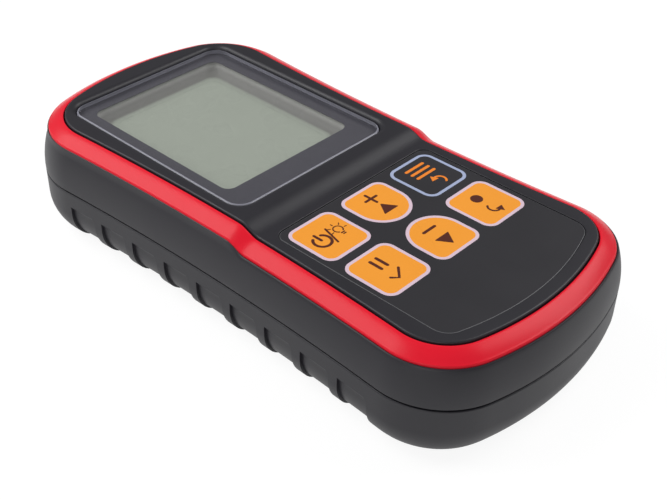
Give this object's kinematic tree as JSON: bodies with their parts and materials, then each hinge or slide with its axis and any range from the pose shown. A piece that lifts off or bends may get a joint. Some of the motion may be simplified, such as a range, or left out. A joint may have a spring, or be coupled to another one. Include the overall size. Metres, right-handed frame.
{
  "type": "handheld light meter",
  "caption": "Handheld light meter body with a clear display window, a pressed-key pad, a coloured trim band, finger grips and a lift-off battery door.",
  "frame": {"origin": "centre of the case's plan, on the surface it rests on", "axes": "+X across the face to the right, +Y along the case towards the display end, +Z out of the face"},
  "size_m": [0.0738, 0.149, 0.0298],
  "materials": {
    "case_plastic": "fine satin texture, near black",
    "trim_red": "smooth satin red",
    "clear_lens": "clear polished sheet with a dark printed border",
    "frame_grey": "matt grey",
    "display_grey": "blank liquid crystal, green-grey",
    "light_white": "white diffuser",
    "zebra_rubber": "layered rubber",
    "board_green": "solder mask",
    "chip_black": "moulded epoxy",
    "pad_charcoal": "finely textured film",
    "key_orange": "printed film, pale rim",
    "key_dark": "printed film, pale rim",
    "switch_steel": "satin",
    "socket_black": "satin",
    "cell_wrap": "plain glossy sleeve"
  },
  "bodies": {
    "body": {"rear_case": "case_plastic", "front_case": "case_plastic", "trim_band": "trim_red", "display_lens": "clear_lens", "display_frame": "frame_grey", "display_glass": "display_grey", "backlight_panel": "light_white", "zebra_strip": "zebra_rubber", "main_board": "board_green", "controller_chip": "chip_black", "keypad_sheet": "pad_charcoal", "power_switch": "switch_steel", "up_switch": "switch_steel", "mode_switch": "switch_steel", "hold_switch": "switch_steel", "down_switch": "switch_steel", "record_switch": "switch_steel", "sensor_socket": "socket_black", "cell_1": "cell_wrap", "cell_2": "cell_wrap", "cell_3": "cell_wrap", "spring_contact_1": "switch_steel", "spring_contact_2": "switch_steel", "spring_contact_3": "switch_steel", "plate_contact_1": "switch_steel", "plate_contact_2": "switch_steel", "plate_contact_3": "switch_steel", "case_screw_1": "switch_steel", "case_screw_2": "switch_steel", "case_screw_3": "switch_steel", "case_screw_4": "switch_steel", "board_screw_1": "switch_steel", "board_screw_2": "switch_steel", "board_screw_3": "switch_steel", "board_screw_4": "switch_steel"},
    "power_button": {"power_key": "key_orange"},
    "up_button": {"up_key": "key_orange"},
    "mode_button": {"mode_key": "key_dark"},
    "hold_button": {"hold_key": "key_orange"},
    "down_button": {"down_key": "key_orange"},
    "record_button": {"record_key": "key_orange"},
    "door": {"battery_door": "case_plastic"}
  },
  "joints": [
    {"name": "power_press", "type": "slide", "parent": "body", "child": "power_button", "axis": [0, 0, -1], "range_m": [0, 0.0005], "stiffness_N_per_m": 1200},
    {"name": "up_press", "type": "slide", "parent": "body", "child": "up_button", "axis": [0, 0, -1], "range_m": [0, 0.0005], "stiffness_N_per_m": 1200},
    {"name": "mode_press", "type": "slide", "parent": "body", "child": "mode_button", "axis": [0, 0, -1], "range_m": [0, 0.0005], "stiffness_N_per_m": 1200},
    {"name": "hold_press", "type": "slide", "parent": "body", "child": "hold_button", "axis": [0, 0, -1], "range_m": [0, 0.0005], "stiffness_N_per_m": 1200},
    {"name": "down_press", "type": "slide", "parent": "body", "child": "down_button", "axis": [0, 0, -1], "range_m": [0, 0.0005], "stiffness_N_per_m": 1200},
    {"name": "record_press", "type": "slide", "parent": "body", "child": "record_button", "axis": [0, 0, -1], "range_m": [0, 0.0005], "stiffness_N_per_m": 1200},
    {"name": "door_lift", "type": "slide", "parent": "body", "child": "door", "axis": [0, 0, -1], "range_m": [0, 0.012]}
  ]
}
